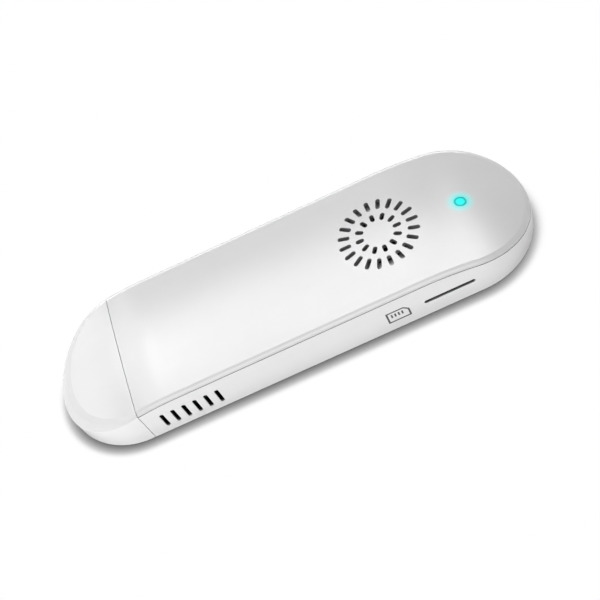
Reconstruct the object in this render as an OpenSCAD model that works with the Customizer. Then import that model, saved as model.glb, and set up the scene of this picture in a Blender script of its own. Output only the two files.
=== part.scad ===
// Stick computer: a white two-piece case with round ends, a pull-off cap over its
// video plug, a small blower under a radial grille, and side ports.
// Frame: X runs along the stick with the plug and cap at -X, the near side with the
// vents and the card slot is -Y, Z is up and the flat bottom rests on Z = 0. Millimetres.

/* [Body] */
// Overall length with the cap on, before the walls lean in
body_l = 115; // [112:1:122]
// Overall width, also the diameter of both round ends
body_w = 34; // [33.5:0.5:37]
// Height at the middle of the crowned top
body_h = 12.1; // [12:0.1:14]
// Rise of the crown across the width
crown = 0.55; // [0.3:0.05:0.8]
// Side wall thickness
wall = 1.3; // [1.2:0.1:1.5]
// Floor thickness
floor_t = 1.2; // [1:0.1:1.4]
// Top cover thickness
cover_t = 1.2; // [1:0.1:1.4]
// Inward lean of the side wall between the parting line and the floor
draft = 0.05; // [0:0.05:0.3]
// Rounding of the bottom edge
foot_r = 0.3; // [0.2:0.1:0.9]
// Height of the rim band between the parting line and the top
rim_h = 0.65; // [0.65:0.05:0.8]
// Width of the rim's rounding seen from above
rim_w = 1.15; // [0.9:0.05:1.4]
// Height of the gap at the parting line
part_gap = 0.2; // [0.1:0.05:0.25]

/* [Falling ends] */
// Distance from the round end's tip to where the top starts to fall
nose_len = 29.7; // [27:0.1:31]
// Height of the top at the round end's tip
nose_h = 4.74; // [4.5:0.02:5.4]
// Distance from the cap's tip to where the top starts to fall
tail_len = 26.9; // [24:0.1:28]
// Height of the top at the cap's tip
tail_h = 5.07; // [5:0.01:5.6]

/* [Cap] */
// Length of the cap from its tip to the seam
cap_len = 17.9; // [17.6:0.1:18.6]
// Gap at the seam between cap and body
cap_gap = 0.15; // [0.1:0.05:0.25]
// Cap wall thickness
cap_wall = 1.3; // [1.1:0.1:1.5]
// Length of the collar the cap slides over
collar_len = 3; // [2:0.25:4]
// Clearance between collar and cap
collar_gap = 0.2; // [0.15:0.05:0.3]
// How much softer the rim gets towards the cap's tip
cap_soft = 2.2; // [1:0.1:2.6]

/* [Grille] */
// Radius of the outer ring of slot centres
grille_r = 7.95; // [7.6:0.05:8.2]
// Radius of the inner ring of slot centres
grille_ri = 4.43; // [4.2:0.05:4.6]
// Slots in the outer ring
grille_n = 20; // [16:1:22]
// Slots in the inner ring
grille_ni = 12; // [8:1:14]
// Length of an outer slot
grille_l = 2.8; // [2.4:0.05:3]
// Length of an inner slot
grille_li = 1.95; // [1.6:0.05:2.1]
// Slot width
grille_w = 1.04; // [0.8:0.02:1.1]

/* [Side openings] */
// Number of vent slots
vent_n = 6; // [4:1:7]
// Distance between vent slots
vent_pitch = 2.66; // [2.2:0.02:2.9]
// Vent slot height
vent_h = 5.1; // [4:0.1:5.4]
// Vent slot width
vent_w = 0.98; // [0.7:0.02:1.1]
// Length of the memory card slot
card_l = 12; // [11.6:0.1:12.4]
// Height of the memory card slot
card_h = 1; // [0.9:0.05:1.15]

/* [Blower] */
// Blades on the impeller
blade_n = 13; // [9:1:17]
// Gap between the impeller and the housing wall
rotor_gap = 1.7; // [1.4:0.1:2.2]

/* [Heat sink] */
// Number of fins
fin_n = 8; // [6:1:9]
// Fin thickness
fin_t = 0.5; // [0.4:0.05:0.7]

/* [Hidden] */
$fn = 64;

big = 100;
eps = 0.02;
r_end = body_w / 2;
x_left = -body_l / 2 + r_end;
x_right = body_l / 2 - r_end;
seam_x = -body_l / 2 + cap_len;
fall_l = -body_l / 2 + tail_len;
fall_r = body_l / 2 - nose_len;
crown_r = (crown * crown + r_end * r_end) / (2 * crown);
nose_drop = body_h - nose_h;
nose_r = round((nose_len * nose_len + nose_drop * nose_drop) / (0.2 * nose_drop)) / 10;
tail_drop = body_h - tail_h;
tail_r = round((tail_len * tail_len + tail_drop * tail_drop) / (0.2 * tail_drop)) / 10;
seam_z = body_h - crown - rim_h;
end_wall = 1.3;
// Rim rounding: inward distance and depth below the top, from the top face to the wall
rim_pts = [[-1.478, -0.267], [-0.522, 0.267], [-0.191, 0.6], [0.191, 1.4]];
rim_d = rim_h - 0.05;
rim_outer = [1.2, -1.6];

// Lip under the cover that drops inside the case wall
lip_gap = 0.1;
lip_t = 0.85;
lip_d = 2.3;
hook_in = 21.6;
hook_step = 16;
hook_x = [for (i = [0 : 2]) seam_x + hook_in + i * hook_step];
hook_l = 4;
hook_h = 0.5;
hook_out = 0.4;

// Board and what stands on it
board_t = 1;
board_drop = 2.85;
board_z = body_h / 2 - board_drop;
board_top = board_z + board_t;
board_in = wall + 1.3;
board_r = body_l / 2 - 7;
board_l = seam_x + 2.2;
screw_d = 1.6;
hole_d = 1.9;
boss_r = 2.1;
pilot_d = 1.7;
screw_in = 4.5;
screw_y = r_end - 5;
board_screw_at = [[seam_x + screw_in, screw_y], [seam_x + screw_in, -screw_y], [body_l / 2 - 10.5, -8]];

// Video plug
plug_z = board_top + 0.1;
plug_w = 13.9;
plug_h = 4.45;
plug_t = 0.3;
plug_out = 11.5;
plug_back = seam_x + 6.2;
notch_x = plug_back + 0.2;
plug_tip = seam_x - plug_out;
pin_w = 0.32;
pin_t = 0.16;
pin_z = 0.72;
pin_tail = 1.3;
tongue_slot_w = plug_w - 2.7;
pin_slot_w = plug_w - 3.1;

// Blower
fan_in = 33.4;
fan_x = body_l / 2 - fan_in;
fan_r = r_end - 6.5;
fan_z = board_top + 1.75;
fan_top = body_h - cover_t - 0.7;
lid_t = 0.25;
fan_base_t = 0.6;
fan_wall = 0.8;
rotor_r = fan_r - fan_wall - rotor_gap;
lid_hole_r = rotor_r - 1.4;
hub_r = 4.9;
foot_y = r_end - 4.5;
foot_x = fan_r - 2;
foot_at = [[-foot_x, -foot_y], [-foot_x, foot_y], [foot_x - 0.7, foot_y - 2.1]];
foot_post_r = 1.9;
fan_foot_top = fan_z + fan_base_t;
shaft_r = 0.75;
bearing_r = 1.6;
stator_r = 3.2;
magnet_r = 3.6;

// Far side ports, spread evenly between the far board screw and the blower
usb_w = 13.1;
usb_h = 5.7;
usb_t = 0.3;
usb_len = 13.7;
usb_front = r_end - 0.4;
usb_back = usb_front - usb_len;
usb_tab = 1.6;
usb_tongue_w = 11.1;
usb_tail = 1.1;
micro_w = 7.4;
micro_h = 2.7;
micro_t = 0.25;
micro_tab = 1.2;
micro_front = r_end - 0.7;
micro_back = r_end - 6.1;
button_l = 4.8;
button_w = 2;
button_gap = 0.2;
button_rim = 0.9;
far_a = seam_x + screw_in + boss_r;
far_b = fan_x - fan_r;
button_span = button_l + 2 * button_rim;
micro_span = micro_w + 2 * micro_tab;
usb_span = usb_w + 2 * usb_tab;
far_gap = (far_b - far_a - button_span - micro_span - usb_span) / 4;
button_x = far_a + far_gap + button_span / 2;
micro_x = button_x + button_span / 2 + far_gap + micro_span / 2;
usb_x = micro_x + micro_span / 2 + far_gap + usb_span / 2;
usb_z = board_top + 1.7;
button_z = board_top + 1.4;

// Heat path: the sink fills the room between memory, blower, near wall and USB port
mem_x = seam_x + 14.1;
mem_w = 9;
mem_h = 0.95;
mem_y = [-r_end + mem_w, r_end - 12.2];
sink_gap = 1.6;
sink_a = mem_x + mem_w / 2 + sink_gap;
sink_b = far_b - sink_gap;
sink_l = sink_b - sink_a;
sink_near = -r_end + 3.2;
sink_far = usb_back - 1.1;
sink_w = sink_far - sink_near;
cpu_at = [(sink_a + sink_b) / 2, (sink_near + sink_far) / 2];
cpu_w = 11.5;
cpu_h = 1.3;
die_w = 8;
pad_w = 9;
pad_t = 0.4;
sink_z = board_top + cpu_h + pad_t;
sink_base = 0.8;

// Near side card slot and the socket behind it
card_x = body_l / 2 - 24.5;
card_z = board_top + 0.89;
socket_w = 14;
socket_front = -r_end + wall + 0.4;
socket_back = -r_end + 15.7;
socket_h = 1.6;
vent_x = seam_x + 4.2;
vent_z = 4.83;

// Small parts on the board
storage_size = [13, 11.5, 1];
power_size = [4, 4, 0.85];
coil_size = [2.4, 2, 1.2];
coil_y = [4.6, 7.4];
capacitor_size = [0.8, 1.3, 0.8];
capacitor_step = 1.75;
crystal_size = [3.2, 2.5, 0.8];
antenna_size = [2, 7, 1];

// Radio module
wifi_a = fan_x + foot_at[2][0] + foot_post_r + 2.2;
wifi_b = body_l / 2 - 10.5;
wifi_at = [(wifi_a + wifi_b) / 2, r_end - 8.8];
wifi_l = wifi_b - wifi_a;
wifi_w = 8.5;
wifi_t = 0.5;
can_edge = 0.3;
can_h = 1.5;
can_t = 0.2;

// Status light
led_x = body_l / 2 - 14.3;
pipe_r = 1.25;
pipe_gap = 0.1;

// Height of the top face lost to the crown at a given Y
function sag(y) = crown_r - sqrt(crown_r * crown_r - y * y);

// Height of the top face at a point of the plan
function fall_z(r, s, u) = body_h - r + sqrt((r - s) * (r - s) - u * u);
function top_z(x, y) = x > fall_r ? fall_z(nose_r, sag(y), x - fall_r)
    : x < fall_l ? fall_z(tail_r, sag(y), fall_l - x)
    : body_h - sag(y);

// Plan outline with both round ends, drawn in by a margin
module plan2d(inset, xa, xb) {
    r = r_end - inset;
    translate([xa, 0]) circle(r);
    translate([xb, 0]) circle(r);
    translate([xa, -r]) square([xb - xa, 2 * r]);
}

module prism(inset, z0, z1, xa = x_left, xb = x_right) {
    translate([0, 0, z0])
        linear_extrude(z1 - z0) plan2d(inset, xa, xb);
}

// Half of the wall section: rounded foot, leaning wall, straight rim
wall_pts = concat([[0, 0]],
    [for (a = [-90 : 30 : 0]) [r_end - draft - foot_r + foot_r * cos(a), foot_r + foot_r * sin(a)]],
    [[r_end, seam_z - 0.3], [r_end, body_h + 1], [0, body_h + 1]]);
wall_mirror = [for (i = [len(wall_pts) - 2 : -1 : 1]) [-wall_pts[i][0], wall_pts[i][1]]];

module wall_solid() {
    translate([x_right, 0, 0])
        rotate([0, 0, -90])
            rotate_extrude(angle = 180) polygon(wall_pts);
    translate([x_left, 0, 0])
        rotate([0, 0, 90])
            rotate_extrude(angle = 180) polygon(wall_pts);
    translate([x_left, 0, 0])
        rotate([90, 0, 90])
            linear_extrude(x_right - x_left) polygon(concat(wall_pts, wall_mirror));
}

// Everything below the top face lowered by d: level middle, falling ends, crowned across
module top_section(d, r0) {
    intersection() {
        translate([r0 - body_h - 2, -r_end - 2]) square([body_h + 4, body_w + 4]);
        translate([r0 - crown_r, 0]) circle(crown_r - d, $fn = 360);
    }
}

module fall_sector(r, d) {
    translate([0, 0, body_h - r])
        rotate([90, 0, 0])
            rotate([0, 0, 90])
                rotate_extrude(angle = 40, $fn = 180) top_section(d, r);
}

module top_solid(d) {
    translate([fall_l, 0, 0])
        rotate([90, 0, 90])
            linear_extrude(fall_r - fall_l)
                rotate([0, 0, 90]) top_section(d, body_h);
    translate([fall_r, 0, 0]) mirror([1, 0, 0]) fall_sector(nose_r, d);
    translate([fall_l, 0, 0]) fall_sector(tail_r, d);
}

module outer_solid() {
    intersection() {
        wall_solid();
        top_solid(0);
    }
}

// Stations along the rim: plan point, outward direction, softness
function straight(x0, x1, n, side) =
    [for (i = [0 : n]) [x0 + (x1 - x0) * i / n, side * r_end, 0, side, 1]];
function bend(xc, a0, a1, n, soft) =
    [for (i = [0.5 : n - 0.5]) let (a = a0 + (a1 - a0) * i / n)
        [xc + r_end * cos(a), r_end * sin(a), cos(a), sin(a), 1 + soft * max(0, -cos(a))]];
cover_path = concat(
    straight(seam_x - 2, fall_l - 0.7, 4, -1),
    straight(fall_r + 0.7, x_right - 1.3, 4, -1),
    bend(x_right, -90, 90, 36, 0),
    straight(x_right - 1.3, fall_r + 0.7, 4, 1),
    straight(fall_l - 0.7, seam_x - 2, 4, 1));
cap_path = concat(
    straight(seam_x + 2, x_left + 0.9, 2, 1),
    bend(x_left, 90, 270, 36, cap_soft),
    straight(x_left + 0.9, seam_x + 2, 2, -1));

// Point of the rim cutter: distance along the outward direction and depth below the top
function rim_point(s, q) = let (
    e = q[0] * (q[0] > 1 ? 1 : rim_w * s[4]),
    f = q[1] * (q[0] > 1 ? s[4] : rim_d * s[4]),
    xi = s[0] + min(e, 0) * s[2],
    yi = s[1] + min(e, 0) * s[3])
    [s[0] + e * s[2], s[1] + e * s[3], top_z(xi, yi) - f];

module rim_cut(path) {
    m = len(rim_pts) + 1;
    n = len(path);
    section = concat(rim_pts, [rim_outer]);
    pts = [for (s = path) for (q = section) rim_point(s, q)];
    sides = [for (i = [0 : n - 2]) for (j = [0 : m - 1]) let (k = (j + 1) % m)
        each [[i * m + j, (i + 1) * m + k, (i + 1) * m + j], [i * m + j, i * m + k, (i + 1) * m + k]]];
    first = [for (j = [0 : m - 3]) [m - 1, j + 1, j]];
    last = [for (j = [0 : m - 3]) [n * m - 1, (n - 1) * m + j, (n - 1) * m + j + 1]];
    polyhedron(points = pts, faces = concat(sides, first, last), convexity = 6);
}

module right_of(x) {
    translate([x, -big / 2, -big / 2]) cube([2 * big, big, big]);
}

module left_of(x) {
    translate([x - 2 * big, -big / 2, -big / 2]) cube([2 * big, big, big]);
}

module slot2d(l, w) {
    square([l - w, w], center = true);
    for (s = [-1, 1])
        translate([s * (l - w) / 2, 0]) circle(d = w, $fn = 32);
}

module block(at, size) {
    translate([at[0] - size[0] / 2, at[1] - size[1] / 2, at[2]]) cube(size);
}

// A cut through the far wall, drawn in X and Z
module far_cut(x, z) {
    translate([x, r_end + 1, z])
        rotate([90, 0, 0])
            linear_extrude(wall + 2) children();
}

module near_cut(x, z) {
    translate([x, -r_end + wall + 1, z])
        rotate([90, 0, 0])
            linear_extrude(wall + 2) children();
}

module collar() {
    o = cap_wall + collar_gap;
    i = o + 1.1;
    xa = x_left + 1.8;
    difference() {
        intersection() {
            prism(o, floor_t + collar_gap, body_h, xa);
            top_solid(o);
            right_of(seam_x - collar_len);
            left_of(seam_x + 0.6);
        }
        intersection() {
            prism(i, floor_t + collar_gap + 1.1, body_h, xa);
            top_solid(i);
        }
    }
}

module bosses() {
    for (p = board_screw_at)
        translate([p[0], p[1], floor_t - 0.3]) cylinder(h = board_z - floor_t + 0.3, r = boss_r);
    for (p = foot_at)
        translate([fan_x + p[0], p[1], floor_t - 0.3])
            cylinder(h = board_z - floor_t + 0.3, r = boss_r);
}

module boss_holes() {
    for (p = board_screw_at)
        translate([p[0], p[1], 0.7]) cylinder(h = board_z, d = pilot_d);
    for (p = foot_at)
        translate([fan_x + p[0], p[1], 0.7]) cylinder(h = board_z, d = pilot_d);
}

module hook_pockets() {
    for (x = hook_x)
        for (s = [-1, 1])
            block([x, s * (r_end - wall), seam_z - 1.35],
                [hook_l + 0.4, 2 * (hook_out + 0.15), hook_h + 0.3]);
}

module lower_case() {
    color([0.93, 0.93, 0.94])
    difference() {
        union() {
            difference() {
                intersection() {
                    wall_solid();
                    top_solid(rim_h + part_gap);
                    right_of(seam_x);
                }
                intersection() {
                    prism(wall, floor_t, body_h + 1);
                    right_of(seam_x + end_wall);
                }
            }
            bosses();
            collar();
        }
        boss_holes();
        hook_pockets();
        translate([seam_x - collar_len - 1, -plug_w / 2 - 0.25, plug_z - plug_h / 2 - 0.25])
            cube([collar_len + end_wall + 2, plug_w + 0.5, plug_h + 0.5]);
        for (i = [0 : vent_n - 1])
            near_cut(vent_x + i * vent_pitch, vent_z) rotate(90) slot2d(vent_h, vent_w);
        near_cut(card_x, card_z) slot2d(card_l, card_h);
        far_cut(usb_x, usb_z) square([usb_w + 0.5, usb_h + 0.5], center = true);
        far_cut(micro_x, board_top + micro_h / 2) slot2d(micro_w + 1.2, micro_h + 0.7);
        far_cut(button_x, button_z) slot2d(button_l + 2 * button_gap, button_w + 2 * button_gap);
    }
}

module cover_hooks() {
    for (x = hook_x)
        for (s = [-1, 1])
            block([x, s * (r_end - wall - lip_gap + (hook_out - 0.4) / 2), seam_z - 1.2],
                [hook_l, hook_out + 0.4, hook_h]);
}

module cover_lip() {
    difference() {
        intersection() {
            prism(wall + lip_gap, floor_t, body_h);
            top_solid(rim_h + 0.25);
            right_of(seam_x + end_wall + lip_gap);
        }
        prism(wall + lip_gap + lip_t, 0, body_h + 1);
        top_solid(lip_d);
    }
}

module grille2d() {
    for (i = [0 : grille_n - 1])
        rotate(i * 360 / grille_n) translate([grille_r, 0]) slot2d(grille_l, grille_w);
    for (i = [0 : grille_ni - 1])
        rotate(i * 360 / grille_ni) translate([grille_ri, 0]) slot2d(grille_li, grille_w);
}

module top_cover() {
    color([0.96, 0.96, 0.97])
    difference() {
        union() {
            difference() {
                intersection() {
                    difference() {
                        outer_solid();
                        rim_cut(cover_path);
                    }
                    right_of(seam_x);
                }
                top_solid(cover_t);
                difference() {
                    top_solid(rim_h);
                    intersection() {
                        prism(wall + lip_gap, -3, body_h + 1);
                        right_of(seam_x + end_wall + lip_gap);
                    }
                }
            }
            cover_lip();
            cover_hooks();
        }
        translate([fan_x, 0, body_h - 3]) linear_extrude(5) grille2d();
        translate([led_x, 0, floor_t]) cylinder(h = body_h, r = pipe_r + pipe_gap);
    }
}

module cap_ribs() {
    rib_l = 6.5;
    rib_t = 0.8;
    rib_x = seam_x - collar_len - 0.6 - rib_l;
    low = plug_z - plug_h / 2 - 0.2;
    high = plug_z + plug_h / 2 + 0.2;
    for (s = [-1, 1]) {
        translate([rib_x, s * 4 - rib_t / 2, floor_t - 0.3]) cube([rib_l, rib_t, low - floor_t + 0.3]);
        intersection() {
            translate([rib_x, s * 4 - rib_t / 2, high]) cube([rib_l, rib_t, body_h]);
            top_solid(cap_wall - 0.3);
        }
    }
}

module hdmi_cap() {
    color([0.94, 0.94, 0.95])
    union() {
        difference() {
            intersection() {
                difference() {
                    outer_solid();
                    rim_cut(cap_path);
                }
                left_of(seam_x - cap_gap);
            }
            intersection() {
                prism(cap_wall, floor_t, body_h, x_left + 1.8);
                top_solid(cap_wall);
            }
        }
        cap_ribs();
    }
}

// Plug section: flat top, straight sides, lower corners drawn in
function plug_pts(d) = [[-plug_w / 2 + d, plug_h / 2 - d], [-plug_w / 2 + d, -0.2],
    [-plug_w / 2 + 1.7 + 0.6 * d, -plug_h / 2 + d], [plug_w / 2 - 1.7 - 0.6 * d, -plug_h / 2 + d],
    [plug_w / 2 - d, -0.2], [plug_w / 2 - d, plug_h / 2 - d]];

module along_x(x0, x1, z) {
    translate([x0, 0, z])
        rotate([90, 0, 90])
            linear_extrude(x1 - x0) children();
}

module hdmi_shell() {
    color([0.72, 0.72, 0.74])
    difference() {
        union() {
            along_x(plug_tip, plug_back, plug_z) polygon(plug_pts(0));
            for (s = [-1, 1])
                block([plug_back - 2, s * (plug_w / 2 + 0.8), board_top], [2.5, 2, plug_t]);
        }
        along_x(plug_tip - 1, plug_back + 1, plug_z) polygon(plug_pts(plug_t));
        for (s = [-1, 1])
            block([plug_tip + 4.2, s * 3.6, plug_z + plug_h / 2 - 1], [2.4, 1.5, 2]);
    }
}

module hdmi_insulator() {
    color([0.08, 0.08, 0.09])
    difference() {
        along_x(plug_tip + 0.5, plug_back - 0.5, plug_z) polygon(plug_pts(plug_t + 0.03));
        translate([plug_tip - 1, -tongue_slot_w / 2, plug_z - 0.9]) cube([8.6, tongue_slot_w, 1.8]);
        for (s = [-1, 1])
            translate([plug_tip + 7, -pin_slot_w / 2, plug_z + s * (pin_z + pin_t / 2) - 0.1])
                cube([20, pin_slot_w, 0.2]);
    }
}

module hdmi_contacts() {
    color([0.83, 0.68, 0.32]) {
        for (i = [0 : 9])
            translate([0, i - 4.5 - pin_w / 2, 0]) {
                translate([plug_tip + 0.9, 0, plug_z + pin_z])
                    cube([plug_back + 0.5 - plug_tip - 0.9, pin_w, pin_t]);
                translate([plug_back + 0.34, 0, board_top])
                    cube([pin_t, pin_w, plug_z + pin_z + pin_t - board_top]);
                translate([plug_back + 0.34, 0, board_top]) cube([pin_tail, pin_w, pin_t]);
            }
        for (i = [0 : 8])
            translate([0, i - 4 - pin_w / 2, 0]) {
                translate([plug_tip + 0.9, 0, plug_z - pin_z - pin_t])
                    cube([plug_back - plug_tip - 0.9, pin_w, pin_t]);
                translate([plug_back - pin_t, 0, board_z - pin_t])
                    cube([pin_t, pin_w, plug_z - pin_z - board_z + pin_t]);
                translate([plug_back - pin_t, 0, board_z - pin_t]) cube([pin_tail + 0.5, pin_w, pin_t]);
            }
    }
}

module board_holes() {
    for (p = board_screw_at)
        translate([p[0], p[1]]) circle(d = hole_d);
    for (p = foot_at)
        translate([fan_x + p[0], p[1]]) circle(d = hole_d);
}

module main_board() {
    color([0.05, 0.24, 0.13])
    translate([0, 0, board_z])
        linear_extrude(board_t)
            difference() {
                intersection() {
                    plan2d(board_in, x_left, x_right);
                    translate([board_l, -big / 2]) square([board_r - board_l, big]);
                }
                translate([notch_x - 20, -plug_w / 2 - 0.35]) square([20, plug_w + 0.7]);
                translate([usb_x - usb_w / 2 - 0.35, usb_back - 0.2]) square([usb_w + 0.7, 30]);
                board_holes();
            }
}

module processor() {
    color([0.13, 0.13, 0.14])
    union() {
        block([cpu_at[0], cpu_at[1], board_top], [cpu_w, cpu_w, 0.7]);
        block([cpu_at[0], cpu_at[1], board_top + 0.6], [die_w, die_w, cpu_h - 0.6]);
    }
}

module thermal_pad() {
    color([0.55, 0.62, 0.70])
    block([cpu_at[0], cpu_at[1], board_top + cpu_h], [pad_w, pad_w, pad_t]);
}

module heat_sink() {
    color([0.60, 0.61, 0.63])
    union() {
        block([cpu_at[0], cpu_at[1], sink_z], [sink_l, sink_w, sink_base]);
        for (i = [0 : fin_n - 1])
            block([cpu_at[0], cpu_at[1] + (i / (fin_n - 1) - 0.5) * (sink_w - fin_t),
                sink_z + sink_base - 0.1], [sink_l, fin_t, fan_top - sink_z - sink_base + 0.1]);
    }
}

module fan_plan(r) {
    translate([fan_x, 0]) circle(r);
    translate([fan_x - r, -r]) square([r, 2 * r]);
}

module fan_frame() {
    color([0.10, 0.10, 0.11])
    difference() {
        union() {
            translate([0, 0, fan_z]) linear_extrude(fan_top - lid_t - fan_z) fan_plan(fan_r);
            for (p = foot_at) {
                translate([fan_x + p[0], p[1], board_top])
                    cylinder(h = fan_foot_top - board_top, r = foot_post_r);
                translate([fan_x, 0, fan_z])
                    rotate([0, 0, atan2(p[1], p[0])])
                        translate([fan_r - 2.5, -1.3, 0]) cube([norm(p) - fan_r + 2.5, 2.6, fan_base_t]);
            }
        }
        translate([0, 0, fan_foot_top]) linear_extrude(body_h) fan_plan(fan_r - fan_wall);
        for (p = foot_at) {
            translate([fan_x + p[0], p[1], 0]) cylinder(h = body_h, d = hole_d);
            translate([fan_x + p[0], p[1], fan_foot_top]) cylinder(h = body_h, r = foot_post_r);
        }
        translate([fan_x - fan_r - 1, -fan_r + fan_wall, fan_foot_top]) cube([4, fan_r + 1, body_h]);
        translate([fan_x, 0, fan_z - 1]) cylinder(h = 3, r = bearing_r);
    }
}

module fan_lid() {
    color([0.62, 0.62, 0.64])
    translate([0, 0, fan_top - lid_t])
        linear_extrude(lid_t)
            difference() {
                fan_plan(fan_r);
                translate([fan_x, 0]) circle(lid_hole_r);
            }
}

module blade(h) {
    r_c = 4;
    rotate([0, 0, -14])
        translate([hub_r - 0.3 - 0.9, -r_c + 0.2, 0])
            rotate([0, 0, 18])
                rotate_extrude(angle = 57) translate([r_c - 0.18, 0]) square([0.36, h]);
}

module fan_rotor() {
    z0 = fan_foot_top + 0.6;
    z1 = fan_top - lid_t - 0.4;
    color([0.16, 0.16, 0.17])
    translate([fan_x, 0, 0])
        difference() {
            union() {
                translate([0, 0, z0 - 0.15]) cylinder(h = z1 - z0 + 0.1, r = hub_r);
                translate([0, 0, z0])
                    intersection() {
                        difference() {
                            cylinder(h = z1 - z0, r = rotor_r);
                            translate([0, 0, -1]) cylinder(h = body_h, r = hub_r - 0.4);
                        }
                        for (i = [0 : blade_n - 1])
                            rotate([0, 0, i * 360 / blade_n]) blade(z1 - z0);
                    }
                translate([0, 0, z0 - 0.05])
                    difference() {
                        cylinder(h = 0.4, r = rotor_r - 1.6);
                        translate([0, 0, -1]) cylinder(h = 3, r = hub_r - 0.4);
                    }
            }
            cylinder(h = z1 - 0.65, r = magnet_r + 0.65);
            cylinder(h = body_h, r = shaft_r);
        }
}

module rotor_magnet() {
    z0 = fan_foot_top + 0.6;
    z1 = fan_top - lid_t - 0.4;
    color([0.30, 0.30, 0.32])
    translate([fan_x, 0, z0])
        difference() {
            cylinder(h = z1 - z0 - 0.65, r = magnet_r + 0.65);
            translate([0, 0, -1]) cylinder(h = body_h, r = magnet_r);
        }
}

module fan_shaft() {
    color([0.75, 0.75, 0.77])
    translate([fan_x, 0, fan_foot_top + 0.15])
        cylinder(h = fan_top - lid_t - 0.45 - fan_foot_top - 0.15, r = shaft_r);
}

module fan_bearing() {
    color([0.70, 0.55, 0.30])
    translate([fan_x, 0, fan_z])
        difference() {
            cylinder(h = fan_top - lid_t - 1.35 - fan_z, r = bearing_r);
            translate([0, 0, fan_base_t + 0.05]) cylinder(h = body_h, r = shaft_r + 0.1);
        }
}

module fan_stator() {
    z0 = fan_foot_top + 0.15;
    h = fan_top - lid_t - 1.45 - z0;
    color([0.72, 0.42, 0.20])
    translate([fan_x, 0, z0])
        linear_extrude(h)
            difference() {
                union() {
                    circle(2.2);
                    for (a = [0, 45, 90, 135])
                        rotate(a) slot2d(2 * stator_r, 1.2);
                }
                circle(bearing_r);
            }
}

// Pan-head screw standing with the underside of its head at z
module screw(z, tip) {
    translate([0, 0, tip]) cylinder(h = z - tip + 0.1, d = screw_d);
    translate([0, 0, z])
        difference() {
            cylinder(h = 0.75, d1 = 2.9, d2 = 2.5);
            for (a = [0, 90])
                translate([0, 0, 0.4]) rotate([0, 0, a]) block([0, 0, 0], [1.5, 0.35, 1]);
        }
}

module fan_screws() {
    color([0.55, 0.55, 0.57])
    for (p = foot_at)
        translate([fan_x + p[0], p[1], 0]) screw(fan_foot_top, 1.2);
}

module board_screws() {
    color([0.58, 0.58, 0.60])
    for (p = board_screw_at)
        translate([p[0], p[1], 0]) screw(board_top, 1.2);
}

module memory_chips() {
    color([0.10, 0.10, 0.11])
    for (y = mem_y)
        block([mem_x, y, board_top], [mem_w, mem_w, mem_h]);
}

module storage_chip() {
    color([0.12, 0.12, 0.13])
    block([cpu_at[0] + 2, cpu_at[1], board_z - storage_size[2]], storage_size);
}

module power_chip() {
    color([0.11, 0.11, 0.12])
    block([micro_x + 4.2, 6, board_top], power_size);
}

module inductors() {
    color([0.32, 0.32, 0.34])
    for (y = coil_y)
        block([micro_x + 0.8, y, board_top], coil_size);
}

module capacitors() {
    color([0.62, 0.50, 0.36])
    for (i = [0 : 4])
        block([usb_x + usb_span / 2 + 1.9, 2.2 + capacitor_step * i, board_top], capacitor_size);
}

module crystal() {
    color([0.78, 0.78, 0.76])
    block([fan_x - 4.1, 6, board_top], crystal_size);
}

module wifi_module() {
    color([0.06, 0.20, 0.30])
    block([wifi_at[0], wifi_at[1], board_top], [wifi_l, wifi_w, wifi_t]);
}

module wifi_shield() {
    can_l = wifi_l - 2 * can_edge;
    can_w = wifi_w - 2 * can_edge;
    color([0.76, 0.76, 0.77])
    difference() {
        block([wifi_at[0], wifi_at[1], board_top + wifi_t], [can_l, can_w, can_h]);
        block([wifi_at[0], wifi_at[1], board_top + wifi_t - 0.1],
            [can_l - 2 * can_t, can_w - 2 * can_t, can_h - can_t + 0.1]);
    }
}

module chip_antenna() {
    color([0.88, 0.86, 0.80])
    block([body_l / 2 - 9.3, 4.5, board_top], antenna_size);
}

module card_base() {
    color([0.12, 0.12, 0.13])
    difference() {
        translate([card_x - socket_w / 2 + 0.25, socket_front + 0.1, board_top])
            cube([socket_w - 0.5, socket_back - socket_front - 0.3, socket_h - 0.25]);
        translate([card_x - card_l / 2 + 0.2, socket_front - 1, board_top + 0.4])
            cube([card_l - 0.4, socket_back - socket_front - 0.6, 2]);
        for (i = [0 : 7])
            translate([card_x - 4.4 + i * 1.1, socket_back - 5.2, board_top + 0.2]) cube([0.7, 3.4, 2]);
    }
}

module card_shell() {
    color([0.74, 0.74, 0.75])
    difference() {
        translate([card_x - socket_w / 2, socket_front, board_top])
            cube([socket_w, socket_back - socket_front, socket_h]);
        translate([card_x - socket_w / 2 + 0.22, socket_front - 1, board_top - 1])
            cube([socket_w - 0.44, socket_back - socket_front + 0.8, socket_h + 0.8]);
        for (x = [-3.6, 0, 3.6])
            translate([card_x + x, socket_back - 6, board_top]) block([0, 0, 0], [1.6, 3, 3]);
    }
}

module card_contacts() {
    color([0.83, 0.68, 0.32])
    for (i = [0 : 7])
        translate([card_x - 4.4 + i * 1.1 + 0.1, 0, 0]) {
            translate([0, socket_back - 5.1, board_top + 0.2]) cube([0.5, 3.2, 0.15]);
            translate([0, socket_back - 5.1, board_top + 0.3])
                translate([0, 0.2, 0]) cube([0.5, 0.6, 0.3]);
        }
}

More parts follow.
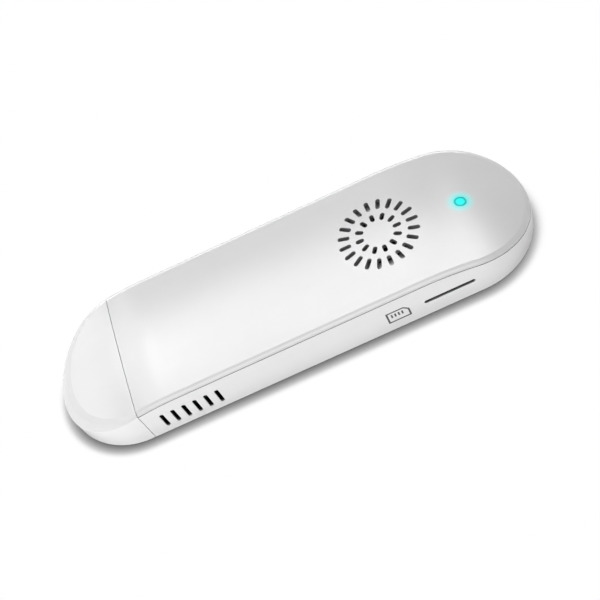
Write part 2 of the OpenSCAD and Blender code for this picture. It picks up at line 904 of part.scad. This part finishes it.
module usb_shell() {
    color([0.76, 0.76, 0.78])
    difference() {
        union() {
            translate([usb_x - usb_w / 2, usb_back, usb_z - usb_h / 2])
                cube([usb_w, usb_front - usb_back, usb_h]);
            for (s = [-1, 1])
                block([usb_x + s * (usb_w / 2 + usb_tab - 0.9), usb_back + 6.2, board_top],
                    [1.8, 2.5, usb_t]);
        }
        translate([usb_x - usb_w / 2 + usb_t, usb_back - 1, usb_z - usb_h / 2 + usb_t])
            cube([usb_w - 2 * usb_t, usb_front - usb_back + 2, usb_h - 2 * usb_t]);
        for (s = [-1, 1])
            block([usb_x + s * 3, usb_back + 0.67 * usb_len, usb_z - big / 2], [2, 2.6, big]);
    }
}

module usb_tongue() {
    color([0.10, 0.10, 0.11])
    difference() {
        union() {
            translate([usb_x - usb_w / 2 + usb_t + eps, usb_back + 0.05, usb_z - usb_h / 2 + usb_t + eps])
                cube([usb_w - 2 * usb_t - 2 * eps, 2.5, usb_h - 2 * usb_t - 2 * eps]);
            translate([usb_x - usb_tongue_w / 2, usb_back + 2, usb_z + 0.5])
                cube([usb_tongue_w, usb_len - 2.8, 1.85]);
        }
        translate([usb_x - 5, usb_back - 1, usb_z + 0.28]) cube([10, 4, 0.24]);
    }
}

module usb_contacts() {
    color([0.83, 0.68, 0.32])
    for (x = [-3.5, -1, 1, 3.5])
        translate([usb_x + x - 0.5, 0, 0]) {
            translate([0, usb_back - 0.4, usb_z + 0.3]) cube([1, usb_len - 1, 0.2]);
            translate([0, usb_back - 0.4, board_top]) cube([1, 0.2, usb_z + 0.5 - board_top]);
            translate([0, usb_back - usb_tail, board_top]) cube([1, usb_tail - 0.2, 0.2]);
        }
}

function micro_pts(d) = [[-micro_w / 2 + d, micro_h - d], [-micro_w / 2 + d, 1.15],
    [-micro_w / 2 + 1 + 0.5 * d, d], [micro_w / 2 - 1 - 0.5 * d, d],
    [micro_w / 2 - d, 1.15], [micro_w / 2 - d, micro_h - d]];

module along_y(x, y0, y1, z) {
    translate([x, y1, z])
        rotate([90, 0, 0])
            linear_extrude(y1 - y0) children();
}

module micro_shell() {
    color([0.76, 0.76, 0.78])
    difference() {
        union() {
            along_y(micro_x, micro_back, micro_front, board_top) polygon(micro_pts(0));
            for (s = [-1, 1])
                block([micro_x + s * (micro_w / 2 + micro_tab - 1.1), micro_back + 2.4, board_top],
                    [2.2, 1.6, micro_t]);
        }
        along_y(micro_x, micro_back - 1, micro_front + 1, board_top) polygon(micro_pts(micro_t));
    }
}

module micro_tongue() {
    color([0.10, 0.10, 0.11])
    difference() {
        union() {
            along_y(micro_x, micro_back + 0.05, micro_back + 1.4, board_top)
                polygon(micro_pts(micro_t + eps));
            translate([micro_x - 1.9, micro_back + 1, board_top + 1.45])
                cube([3.8, micro_front - micro_back - 1.8, 0.6]);
        }
        translate([micro_x - 1.8, micro_back - 1, board_top + 1.28]) cube([3.6, 3, 0.19]);
    }
}

module micro_contacts() {
    color([0.83, 0.68, 0.32])
    for (i = [-2 : 2])
        translate([micro_x + 0.65 * i - 0.18, 0, 0]) {
            translate([0, micro_back - 0.25, board_top + 1.3])
                cube([0.36, micro_front - micro_back - 1, 0.15]);
            translate([0, micro_back - 0.25, board_top]) cube([0.36, 0.15, 1.45]);
            translate([0, micro_back - 0.9, board_top]) cube([0.36, 0.8, 0.15]);
        }
}

module power_button() {
    color([0.90, 0.90, 0.91])
    union() {
        along_y(button_x, r_end - wall - 0.4, r_end - 0.02, button_z) slot2d(button_l, button_w);
        along_y(button_x, r_end - wall - 0.6, r_end - wall - 0.1, button_z)
            slot2d(button_span, button_w + 1);
    }
}

module switch_plunger() {
    color([0.20, 0.20, 0.21])
    translate([button_x - 0.8, r_end - wall - 2.5, button_z - 0.6]) cube([1.6, 1.9, 1.2]);
}

module power_switch() {
    color([0.70, 0.70, 0.71])
    difference() {
        translate([button_x - 2.3, r_end - wall - 5.1, board_top]) cube([4.6, 3, 2.7]);
        translate([button_x - 0.95, r_end - wall - 3.1, button_z - 0.75]) cube([1.9, 3, 1.5]);
    }
}

module status_led() {
    color([0.20, 0.90, 0.92])
    union() {
        block([led_x, 0, board_top], [1.6, 0.8, 0.3]);
        block([led_x, 0, board_top + 0.25], [1, 0.8, 0.4]);
    }
}

module light_pipe() {
    color([0.30, 0.92, 0.94])
    union() {
        intersection() {
            translate([led_x, 0, board_top + 0.85]) cylinder(h = body_h, r = pipe_r);
            top_solid(0.03);
        }
        difference() {
            intersection() {
                translate([led_x, 0, board_top + 2]) cylinder(h = body_h, r = pipe_r + 0.9);
                top_solid(cover_t + eps);
            }
            top_solid(cover_t + 0.65);
        }
    }
}

lower_case();
top_cover();
hdmi_cap();
hdmi_shell();
hdmi_insulator();
hdmi_contacts();
main_board();
processor();
thermal_pad();
heat_sink();
fan_frame();
fan_lid();
fan_rotor();
rotor_magnet();
fan_shaft();
fan_bearing();
fan_stator();
fan_screws();
board_screws();
memory_chips();
storage_chip();
power_chip();
inductors();
capacitors();
crystal();
wifi_module();
wifi_shield();
chip_antenna();
card_base();
card_shell();
card_contacts();
usb_shell();
usb_tongue();
usb_contacts();
micro_shell();
micro_tongue();
micro_contacts();
power_button();
power_switch();
switch_plunger();
status_led();
light_pipe();
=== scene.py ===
import math

import bpy
from mathutils import Matrix, Vector


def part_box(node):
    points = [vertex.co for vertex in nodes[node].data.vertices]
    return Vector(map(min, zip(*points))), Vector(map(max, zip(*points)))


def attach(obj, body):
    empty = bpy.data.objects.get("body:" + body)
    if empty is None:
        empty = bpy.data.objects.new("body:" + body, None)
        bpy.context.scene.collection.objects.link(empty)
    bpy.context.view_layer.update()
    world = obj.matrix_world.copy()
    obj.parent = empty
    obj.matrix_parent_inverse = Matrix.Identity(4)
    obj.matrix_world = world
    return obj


# Stick computer with its cap on, as in the photograph: the CAD nodes get their looks, the near wall its
# print, and camera, floor, world and lamps make the studio

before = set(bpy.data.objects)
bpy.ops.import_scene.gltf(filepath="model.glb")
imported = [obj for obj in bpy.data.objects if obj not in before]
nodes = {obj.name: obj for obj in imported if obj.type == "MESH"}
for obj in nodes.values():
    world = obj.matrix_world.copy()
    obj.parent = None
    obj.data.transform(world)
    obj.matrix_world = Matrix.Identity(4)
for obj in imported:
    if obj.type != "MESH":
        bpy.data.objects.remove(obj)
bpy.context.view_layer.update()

MM = 0.001
scene = bpy.context.scene
scene.view_settings.view_transform = "Standard"

# Sizes that no box of the frame gives, in millimetres: above PARTING_LOW the case's level faces are its
# parting edge, and WALL_Y is where its near wall stands behind the mark
HALF_L = 57.5
GRILLE_R = 9.6
PARTING_LOW = 7.0
PIPE_R, GLOW_R = 1.25, 3.4
WALL_Y, WALL_DRAFT, WALL_H = 16.972, 0.05, 10.3
MARK_GAP, INK_T = 5.1, 0.006

# Camera fitted to the photograph: its lengths in pixels, then its sensor and place in millimetres,
# and its axes in the part's frame
PHOTO_SIDE, FOCAL_LENGTH = 600.0, 1294.003
SENSOR = 36.0
CAMERA_AT = (27.937, -171.949, 238.359)
CAMERA_RIGHT = (0.90656, -0.28715, -0.30935)
CAMERA_DOWN = (-0.41244, -0.75844, -0.50465)
CAMERA_AHEAD = (-0.08972, 0.58508, -0.80600)

# Studio, in metres: the lamps' distance, the floor, the reach of its contact shadow with the way it leans,
# and the strength of the world's light
DOME_R = 0.6
FLOOR_HALF, FLOOR_DROP = 3.0, 0.00005
SHADE_REACH = 0.0033
SHADE_LEAN = (0.27, 0.50, 0.82)
AMBIENT = 0.06


def low_corner(node):
    """Lowest corner of a CAD node's box, in millimetres."""
    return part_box(node)[0] / MM


def middle(node):
    """Middle of a CAD node's box, in millimetres."""
    low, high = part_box(node)
    return (low + high) / 2 / MM


# Places worked out from the frame, in millimetres; the outline's end arcs start at END_X
cover_corner = low_corner("top_cover")
SEAM_X, HALF_W = cover_corner.x, -cover_corner.y
END_X = HALF_L - HALF_W
FAN_X = middle("fan_shaft").x
LED_X = middle("status_led").x
MARK_X = low_corner("card_shell").x - MARK_GAP
MARK_Z = middle("card_shell").z


def place_camera():
    """The photograph's camera, from its fitted axes and place."""
    data = bpy.data.cameras.new("camera")
    data.sensor_width = SENSOR
    data.lens = FOCAL_LENGTH / PHOTO_SIDE * SENSOR
    data.clip_start = 0.01
    data.clip_end = 20.0
    cam = bpy.data.objects.new("camera", data)
    turn = Matrix((Vector(CAMERA_RIGHT), -Vector(CAMERA_DOWN), -Vector(CAMERA_AHEAD))).transposed()
    cam.matrix_world = Matrix.Translation(Vector(CAMERA_AT) * MM) @ turn.to_4x4()
    scene.collection.objects.link(cam)
    scene.camera = cam


# Shader helpers

def surface_of(mat):
    """A material's node tree and its surface node."""
    return mat.node_tree, mat.node_tree.nodes["Principled BSDF"]


def shader(name):
    """New material, with its node tree and its surface node."""
    mat = bpy.data.materials.new(name)
    mat.use_nodes = True
    return mat, *surface_of(mat)


def feed(tree, node, inputs):
    """Fills a node's inputs: a socket is linked, a colour gets its alpha, a number is set."""
    for key, value in inputs.items():
        socket = node.inputs[key]
        if isinstance(value, bpy.types.NodeSocket):
            tree.links.new(value, socket)
        elif socket.type == "RGBA":
            socket.default_value = (*value, 1.0)
        else:
            socket.default_value = value


def add_node(tree, kind, inputs=None, **settings):
    """New shader node of a kind, with its settings and inputs."""
    node = tree.nodes.new("ShaderNode" + kind)
    for key, value in settings.items():
        setattr(node, key, value)
    feed(tree, node, inputs or {})
    return node


def coords(tree, stretch=(1.0, 1.0, 1.0)):
    """Place in the part's frame, multiplied by a number for each axis."""
    place = add_node(tree, "TexCoord").outputs["Object"]
    return add_node(tree, "Mapping", {"Vector": place, "Scale": stretch}).outputs["Vector"]


def noise(tree, place, scale, detail=2.0, rough=0.5):
    """Cloudy value round 0.5."""
    inputs = {"Vector": place, "Scale": scale, "Detail": detail, "Roughness": rough}
    return add_node(tree, "TexNoise", inputs).outputs["Fac"]


def shade(value):
    """Grey of that brightness."""
    return (value, value, value)


def ramp(tree, amount, stops):
    """Colour by amount, with straight runs between stops of the form (amount, brightness or colour)."""
    node = add_node(tree, "ValToRGB", {"Fac": amount})
    elements = node.color_ramp.elements
    while len(elements) < len(stops):
        elements.new(0.5)
    for element, (position, colour) in zip(elements, stops):
        element.position = position
        element.color = (*(shade(colour) if isinstance(colour, float) else colour), 1.0)
    return node.outputs["Color"]


def spread(tree, amount, low, high, start=0.3, end=0.7):
    """Brightness or colour that runs from low to high while the amount runs from start to end."""
    return ramp(tree, amount, [(start, low), (end, high)])


def math_node(tree, operation, *values, clamp=False):
    """Result of one operation on sockets or numbers."""
    inputs = dict(enumerate(values))
    return add_node(tree, "Math", inputs, operation=operation, use_clamp=clamp).outputs["Value"]


def product(tree, *values):
    """All values multiplied."""
    result = values[0]
    for value in values[1:]:
        result = math_node(tree, "MULTIPLY", result, value)
    return result


def mix(tree, amount, first, second):
    """Colour between two colours, each a socket or three numbers."""
    first_input, second_input, colour_output = 6, 7, 2
    inputs = {"Factor": amount, first_input: first, second_input: second}
    return add_node(tree, "Mix", inputs, data_type="RGBA").outputs[colour_output]


def bump(tree, surface, height, strength, depth):
    """Fine relief on the surface, its depth in millimetres."""
    relief = add_node(tree, "Bump", {"Height": height, "Strength": strength, "Distance": depth * MM})
    feed(tree, surface, {"Normal": relief.outputs["Normal"]})


def plan_inset(tree):
    """Distance in from the plan outline, with x and z, all in the part's frame."""
    place = add_node(tree, "TexCoord").outputs["Object"]
    axes = add_node(tree, "SeparateXYZ", {"Vector": place}).outputs
    past_end = math_node(tree, "SUBTRACT", math_node(tree, "ABSOLUTE", axes["X"]), END_X * MM)
    flat = add_node(tree, "CombineXYZ", {"X": math_node(tree, "MAXIMUM", past_end, 0.0), "Y": axes["Y"]})
    off_line = add_node(tree, "VectorMath", {0: flat.outputs["Vector"]}, operation="LENGTH")
    inset = math_node(tree, "SUBTRACT", HALF_W * MM, off_line.outputs["Value"])
    return inset, axes["X"], axes["Z"]


def plan_distance(tree, x):
    """Distance in plan from the point (x, 0), x in millimetres."""
    flat = coords(tree, (1.0, 1.0, 0.0))
    inputs = {0: flat, 1: (x * MM, 0.0, 0.0)}
    return add_node(tree, "VectorMath", inputs, operation="DISTANCE").outputs["Value"]


def all_of(tree, *tests):
    """1 where every test holds, of the form (socket, sign, limit in millimetres)."""
    operations = {">": "GREATER_THAN", "<": "LESS_THAN"}
    held = [math_node(tree, operations[sign], value, limit * MM) for value, sign, limit in tests]
    return product(tree, *held)


def fade(tree, value, start, end):
    """0 below start and 1 above end, both in millimetres."""
    inputs = {"Value": value, "From Min": start * MM, "From Max": end * MM}
    return add_node(tree, "MapRange", inputs).outputs["Result"]


def face_up(tree):
    """Vertical part of the mesh's own normal."""
    normal = add_node(tree, "NewGeometry").outputs["True Normal"]
    return add_node(tree, "SeparateXYZ", {"Vector": normal}).outputs["Z"]


def paint_over(tree, surface, mask, colour):
    """Lays a colour over what the surface has so far, as far as the mask says."""
    base = surface.inputs["Base Color"].links[0].from_socket
    feed(tree, surface, {"Base Color": mix(tree, mask, base, colour)})


# Materials

def moulded(name, low, high, rough, grain):
    """Moulded plastic or the like: faint mottling along the flow and a fine spark-eroded grain."""
    mat, tree, surface = shader(name)
    place = coords(tree)
    flow = noise(tree, coords(tree, (1.0, 2.5, 2.5)), scale=34.0, detail=3.0)
    patches = noise(tree, place, scale=420.0, detail=3.0)
    feed(tree, surface, {
        "Base Color": spread(tree, flow, low, high),
        "Roughness": spread(tree, patches, rough - 0.03, rough + 0.03),
        "Specular IOR Level": 0.7,
    })
    bump(tree, surface, noise(tree, place, scale=6500.0, rough=0.6), strength=grain, depth=0.02)
    return mat


def case_white(name):
    """The lower case's plastic, with painted shade behind its openings and a painted shadow line along the
    parting edge.
    """
    shade_starts, shade_full, seam_margin, underside = 0.1, 0.5, 0.3, 0.45
    edge_inset, level_face = 0.02, 0.6
    mat = moulded(name, shade(0.80), shade(0.825), rough=0.22, grain=0.03)
    tree, surface = surface_of(mat)
    inset, x, z = plan_inset(tree)
    # Painted shade: near-black on the faces a little way in behind the wall, inside the vents and the card
    # slot
    opening_shade = product(tree, fade(tree, inset, shade_starts, shade_full),
                     all_of(tree, (x, ">", SEAM_X + seam_margin), (z, ">", underside)))
    # Painted shadow line: dark grey on the level faces of the parting edge, in the gap under the cover
    high = math_node(tree, "MAXIMUM", all_of(tree, (z, ">", PARTING_LOW)), all_of(tree, (x, ">", END_X)))
    level = math_node(tree, "GREATER_THAN", face_up(tree), level_face)
    parting_shade = product(tree, high, level, all_of(tree, (inset, ">", edge_inset), (x, ">", SEAM_X)))
    paint_over(tree, surface, opening_shade, shade(0.02))
    paint_over(tree, surface, parting_shade, shade(0.08))
    return mat


def cover_white(name):
    """The cover's plastic, with a painted cyan glow round the light pipe and painted shade on the walls of
    the grille's slots.
    """
    steep_face = 0.75
    mat = moulded(name, (0.745, 0.745, 0.75), (0.77, 0.77, 0.775), rough=0.22, grain=0.02)
    tree, surface = surface_of(mat)
    # Painted glow: emission and a cyan tint in the white plastic round the light pipe stand in for the pipe's
    # light
    reach = math_node(tree, "DIVIDE", plan_distance(tree, LED_X), GLOW_R * MM)
    glow = ramp(tree, reach, [(0.40, 0.16), (0.65, 0.12), (0.85, 0.04), (1.0, 0.0)])
    glow_tint = ramp(tree, reach, [(0.39, 0.93), (0.46, 0.77), (0.65, 0.38), (0.90, 0.06), (1.0, 0.0)])
    feed(tree, surface, {"Emission Color": (0.0, 1.0, 0.96), "Emission Strength": glow})
    paint_over(tree, surface, glow_tint, (0.03, 0.80, 0.78))
    # Painted shade: grey on the steep walls of the grille's slots
    steep = math_node(tree, "LESS_THAN", face_up(tree), steep_face)
    in_grille = all_of(tree, (plan_distance(tree, FAN_X), "<", GRILLE_R))
    paint_over(tree, surface, product(tree, steep, in_grille), shade(0.42))
    return mat


def moulded_black(name, low, high, rough):
    """Dark moulded plastic with a fine dull grain."""
    mat, tree, surface = shader(name)
    place = coords(tree)
    feed(tree, surface, {
        "Base Color": spread(tree, noise(tree, place, scale=900.0, detail=3.0), low, high),
        "Roughness": spread(tree, noise(tree, place, scale=2500.0), rough - 0.06, rough + 0.06),
    })
    bump(tree, surface, noise(tree, place, scale=9000.0), strength=0.2, depth=0.02)
    return mat


def metal(name, low, high, rough, stretch=(1.0, 14.0, 14.0), scale=900.0):
    """Sheet or turned metal, with fine drawn lines along the axis of least stretch."""
    mat, tree, surface = shader(name)
    lines = noise(tree, coords(tree, stretch), scale, detail=3.0, rough=0.6)
    feed(tree, surface, {
        "Metallic": 1.0,
        "Base Color": spread(tree, lines, low, high, start=0.25, end=0.75),
        "Roughness": spread(tree, lines, rough - 0.08, rough + 0.1, start=0.2, end=0.8),
    })
    bump(tree, surface, lines, strength=0.12, depth=0.02)
    return mat


def solder_mask(name, low, high, copper):
    """Board lacquer over copper tracks, with tinned pads showing through."""
    pad_size, pad_metal, tin = 0.16, 0.8, (0.55, 0.46, 0.24)
    mat, tree, surface = shader(name)
    place = coords(tree)
    tracks = add_node(tree, "TexBrick", {
        "Vector": place, "Scale": 260.0, "Mortar Size": 0.035,
        "Color1": low, "Color2": high, "Mortar": copper,
    })
    cells = add_node(tree, "TexVoronoi", {"Vector": place, "Scale": 520.0})
    pads = math_node(tree, "LESS_THAN", cells.outputs["Distance"], pad_size)
    feed(tree, surface, {
        "Base Color": mix(tree, pads, tracks.outputs["Color"], tin),
        "Metallic": math_node(tree, "MULTIPLY", pads, pad_metal),
        "Roughness": spread(tree, noise(tree, place, scale=1500.0), 0.24, 0.36),
    })
    bump(tree, surface, tracks.outputs["Fac"], strength=0.25, depth=0.03)
    return mat


def windings(name):
    """Copper wire wound in rows."""
    mat, tree, surface = shader(name)
    inputs = {"Vector": coords(tree), "Scale": 1900.0, "Distortion": 0.6}
    rows = add_node(tree, "TexWave", inputs, bands_direction="Z").outputs["Fac"]
    feed(tree, surface, {
        "Metallic": 0.9,
        "Base Color": spread(tree, rows, (0.30, 0.10, 0.03), (0.72, 0.33, 0.13), start=0.1, end=0.8),
        "Roughness": 0.32,
    })
    bump(tree, surface, rows, strength=0.6, depth=0.05)
    return mat


def lit_plastic(name):
    """Cyan plastic with the light behind it, brightest in the middle and dark at its rim."""
    mat, tree, surface = shader(name)
    reach = math_node(tree, "DIVIDE", plan_distance(tree, LED_X), PIPE_R * MM)
    core = ramp(tree, reach, [(0.0, (0.0, 0.80, 0.74)), (0.70, (0.0, 0.76, 0.70)),
                              (0.86, (0.0, 0.24, 0.23)), (1.0, (0.0, 0.28, 0.27))])
    feed(tree, surface, {
        "Emission Color": core,
        "Emission Strength": 1.0,
        "Base Color": (0.0, 0.24, 0.24),
        "Specular IOR Level": 0.2,
        "Roughness": spread(tree, noise(tree, coords(tree), scale=1200.0), 0.18, 0.28),
    })
    return mat


def print_ink(name):
    """Grey pad-printed ink, thinner in places, as on a moulded wall."""
    mat, tree, surface = shader(name)
    place = coords(tree)
    feed(tree, surface, {
        "Base Color": spread(tree, noise(tree, place, scale=3200.0, detail=3.0), 0.055, 0.09, end=0.75),
        "Roughness": 0.55,
    })
    bump(tree, surface, noise(tree, place, scale=8000.0), strength=0.15, depth=0.01)
    return mat


# Looks of the CAD nodes

def case_looks():
    """The white mouldings outside."""
    return {
        "lower_case": case_white("case_white"),
        "top_cover": cover_white("cover_white"),
        "hdmi_cap": moulded("cap_white", shade(0.81), shade(0.835), rough=0.22, grain=0.02),
        "power_button": moulded("button_white", shade(0.74), shade(0.77), rough=0.42, grain=0.14),
    }


def port_looks():
    """Steel shells, gilt contacts and black insulators."""
    shells = ("hdmi_shell", "usb_shell", "micro_shell", "card_shell",
              "wifi_shield", "crystal", "power_switch")
    contacts = ("hdmi_contacts", "usb_contacts", "micro_contacts", "card_contacts")
    insulators = ("hdmi_insulator", "usb_tongue", "micro_tongue", "card_base")
    steel = metal("port_steel", shade(0.50), shade(0.66), 0.28)
    gold = metal("contact_gold", (0.62, 0.42, 0.12), (0.86, 0.64, 0.24), 0.22, stretch=(14.0, 1.0, 14.0))
    black = moulded_black("insulator_black", shade(0.012), shade(0.022), 0.42)
    return {
        **dict.fromkeys(shells, steel),
        **dict.fromkeys(contacts, gold),
        **dict.fromkeys(insulators, black),
    }


def blower_looks():
    """The blower's pieces, and the screws and the plunger that are like its own."""
    even = (1.0, 1.0, 1.0)
    bronze, bright_bronze = (0.36, 0.22, 0.08), (0.50, 0.32, 0.13)
    black = moulded_black("fan_black", shade(0.018), shade(0.030), 0.5)
    screw = metal("screw_steel", shade(0.40), shade(0.56), 0.34, stretch=(9.0, 9.0, 1.0))
    return {
        **dict.fromkeys(("fan_frame", "fan_rotor", "switch_plunger"), black),
        **dict.fromkeys(("fan_screws", "board_screws"), screw),
        "fan_lid": metal("lid_grey", shade(0.30), shade(0.38), 0.45),
        "rotor_magnet": metal("magnet_grey", shade(0.07), shade(0.11), 0.5, stretch=even, scale=1500.0),
        "fan_shaft": metal("shaft_steel", shade(0.55), shade(0.68), 0.2, stretch=(1.0, 1.0, 16.0)),
        "fan_bearing": metal("bearing_bronze", bronze, bright_bronze, 0.42, stretch=even, scale=2600.0),
        "fan_stator": windings("stator_copper"),
    }


def board_looks():
    """The boards and what stands on them."""
    green = (0.010, 0.085, 0.038), (0.014, 0.105, 0.048), (0.02, 0.16, 0.07)
    blue = (0.008, 0.05, 0.10), (0.010, 0.06, 0.12), (0.02, 0.09, 0.16)
    fin_lines = (1.0, 20.0, 20.0)
    ceramic, pale_ceramic = (0.70, 0.67, 0.58), (0.78, 0.75, 0.68)
    chip = moulded_black("chip_black", shade(0.020), shade(0.034), 0.55)
    return {
        **dict.fromkeys(("processor", "memory_chips", "storage_chip", "power_chip"), chip),
        "main_board": solder_mask("board_green", *green),
        "wifi_module": solder_mask("radio_blue", *blue),
        "heat_sink": metal("sink_aluminium", shade(0.52), shade(0.68), 0.36, stretch=fin_lines, scale=700.0),
        "thermal_pad": moulded("pad_grey", (0.20, 0.26, 0.33), (0.27, 0.34, 0.42), rough=0.75, grain=0.4),
        "inductors": moulded_black("inductor_grey", shade(0.06), shade(0.10), 0.6),
        "capacitors": moulded("capacitor_tan", (0.30, 0.20, 0.11), (0.42, 0.30, 0.18), rough=0.4, grain=0.2),
        "chip_antenna": moulded("antenna_ceramic", ceramic, pale_ceramic, rough=0.3, grain=0.1),
    }


def light_looks():
    """The status light and the pipe that shows it."""
    return {"status_led": lit_plastic("led_lens"), "light_pipe": lit_plastic("pipe_cyan")}


def paint_nodes():
    """Gives every CAD node its look."""
    looks = {**case_looks(), **port_looks(), **blower_looks(), **board_looks(), **light_looks()}
    for name, mat in looks.items():
        data = nodes[name].data
        data.materials.clear()
        data.materials.append(mat)


# Print on the near wall

def card_loops():
    """Card with a cut corner, as an outer and an inner outline, and its contact bars, in millimetres."""
    wide, high, cut, line = 5.4, 3.9, 1.2, 0.42
    bars, bar_inset, bar_step, bar_wide, bar_high = 4, 1.0, 0.82, 0.4, 1.25
    right, top = wide / 2, high / 2
    inner_cut = cut + line * math.tan(math.radians(45.0 / 2))
    loops = [[(-right, -top), (right, -top), (right, top - cut), (right - cut, top), (-right, top)],
             [(line - right, line - top), (right - line, line - top), (right - line, top - inner_cut),
              (right - inner_cut, top - line), (line - right, top - line)]]
    bar_top = top - bar_inset
    bar_foot = bar_top - bar_high
    for i in range(bars):
        start = bar_inset - right + bar_step * i
        end = start + bar_wide
        loops.append([(start, bar_foot), (end, bar_foot), (end, bar_top), (start, bar_top)])
    return loops


def card_mark():
    """Plain pictogram of a memory card, printed on the case's wall beside the card slot."""
    data = bpy.data.curves.new("card_mark", "CURVE")
    data.dimensions = "2D"
    data.fill_mode = "BOTH"
    data.extrude = INK_T * MM
    for corners in card_loops():
        loop = data.splines.new("POLY")
        loop.points.add(len(corners) - 1)
        for point, (x, z) in zip(loop.points, corners):
            point.co = (x * MM, z * MM, 0.0, 1.0)
        loop.use_cyclic_u = True
    mark = bpy.data.objects.new("card_mark", data)
    mark.location = Vector((MARK_X, -WALL_Y - INK_T, MARK_Z)) * MM
    mark.rotation_euler.x = math.radians(90.0) + WALL_DRAFT / WALL_H
    data.materials.append(print_ink("print_grey"))
    scene.collection.objects.link(mark)
    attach(mark, "case")


# Studio

def seen_ray(tree):
    """1 for rays that show the background: straight to the camera, by reflection or through glass."""
    path = add_node(tree, "LightPath").outputs
    seen = math_node(tree, "ADD", path["Is Camera Ray"], path["Is Glossy Ray"], clamp=True)
    return math_node(tree, "ADD", seen, path["Is Transmission Ray"], clamp=True)


def floor_white(name):
    """White where it is seen, but for a contact shadow that leans to one side, and matt where it is lit."""
    mat, tree, surface = shader(name)
    feed(tree, surface, {"Base Color": shade(0.80), "Roughness": 0.9, "Specular IOR Level": 0.0})
    lean = add_node(tree, "CombineXYZ", dict(zip("XYZ", SHADE_LEAN))).outputs["Vector"]
    near = add_node(tree, "AmbientOcclusion", {"Distance": SHADE_REACH, "Normal": lean}, samples=16)
    lit = ramp(tree, near.outputs["AO"], [(0.10, 0.08), (0.25, 0.11), (0.47, 0.30), (0.66, 0.52),
                                          (0.74, 0.66), (0.82, 0.84), (0.91, 0.97), (0.96, 1.0)])
    glow = add_node(tree, "Emission", {"Color": lit}).outputs["Emission"]
    both = add_node(tree, "MixShader", {"Fac": seen_ray(tree), 1: surface.outputs["BSDF"], 2: glow})
    feed(tree, tree.nodes["Material Output"], {"Surface": both.outputs["Shader"]})
    return mat


def make_floor():
    """Wide floor just under the part."""
    near, far = -FLOOR_HALF, FLOOR_HALF
    mesh = bpy.data.meshes.new("floor")
    mesh.from_pydata([(near, near, 0), (far, near, 0), (far, far, 0), (near, far, 0)], [], [(0, 1, 2, 3)])
    mesh.materials.append(floor_white("floor_white"))
    floor = bpy.data.objects.new("floor", mesh)
    floor.location.z = -FLOOR_DROP
    scene.collection.objects.link(floor)


def make_world():
    """White where it is seen, and a little light from all sides."""
    world = bpy.data.worlds.new("world")
    world.use_nodes = True
    scene.world = world
    tree = world.node_tree
    lit = add_node(tree, "MapRange", {"Value": seen_ray(tree), "To Min": AMBIENT, "To Max": 1.0})
    feed(tree, tree.nodes["Background"], {"Strength": lit.outputs["Result"], "Color": shade(1.0)})


def softbox(name, zenith, azimuth, size, watts, mirrored=True, lighting=True):
    """Area lamp on a dome round the part, aimed at its middle; some are only fill, some only a reflection."""
    data = bpy.data.lights.new(name, "AREA")
    data.shape = "RECTANGLE"
    data.size, data.size_y = size
    data.energy = watts
    lamp = bpy.data.objects.new(name, data)
    tilt, turn = math.radians(zenith), math.radians(azimuth)
    out = Vector((math.sin(tilt) * math.cos(turn), math.sin(tilt) * math.sin(turn), math.cos(tilt)))
    lamp.location = out * DOME_R
    lamp.rotation_mode = "QUATERNION"
    lamp.rotation_quaternion = out.to_track_quat("Z", "Y")
    lamp.visible_glossy = mirrored
    lamp.visible_diffuse = lighting
    scene.collection.objects.link(lamp)


def make_lamps():
    """Lamps that the top mirrors as soft bands, fill for the walls, and a panel that the near rim mirrors."""
    softbox("back", 31.0, 79.0, (0.56, 0.14), 1.34)
    softbox("back_up", 22.0, 83.0, (0.50, 0.10), 0.47)
    softbox("low_back", 82.0, 90.0, (0.75, 0.12), 0.90)
    softbox("back_left", 42.0, 129.0, (0.16, 0.20), 0.40)
    softbox("left_back", 62.0, 142.0, (0.26, 0.24), 0.36)
    softbox("left_top", 42.0, 180.0, (0.40, 0.26), 0.20)
    softbox("front", 82.0, 275.0, (0.60, 0.14), 1.05, mirrored=False)
    softbox("front_left", 82.0, 225.0, (0.60, 0.14), 1.95, mirrored=False)
    softbox("front_right", 82.0, 335.0, (0.30, 0.14), 0.34, mirrored=False)
    softbox("back_right", 43.0, 44.0, (0.20, 0.12), 0.22)
    softbox("rim", 32.0, 275.0, (0.70, 0.50), 2.40, lighting=False)


place_camera()
paint_nodes()
card_mark()
make_floor()
make_world()
make_lamps()

bpy.context.view_layer.update()
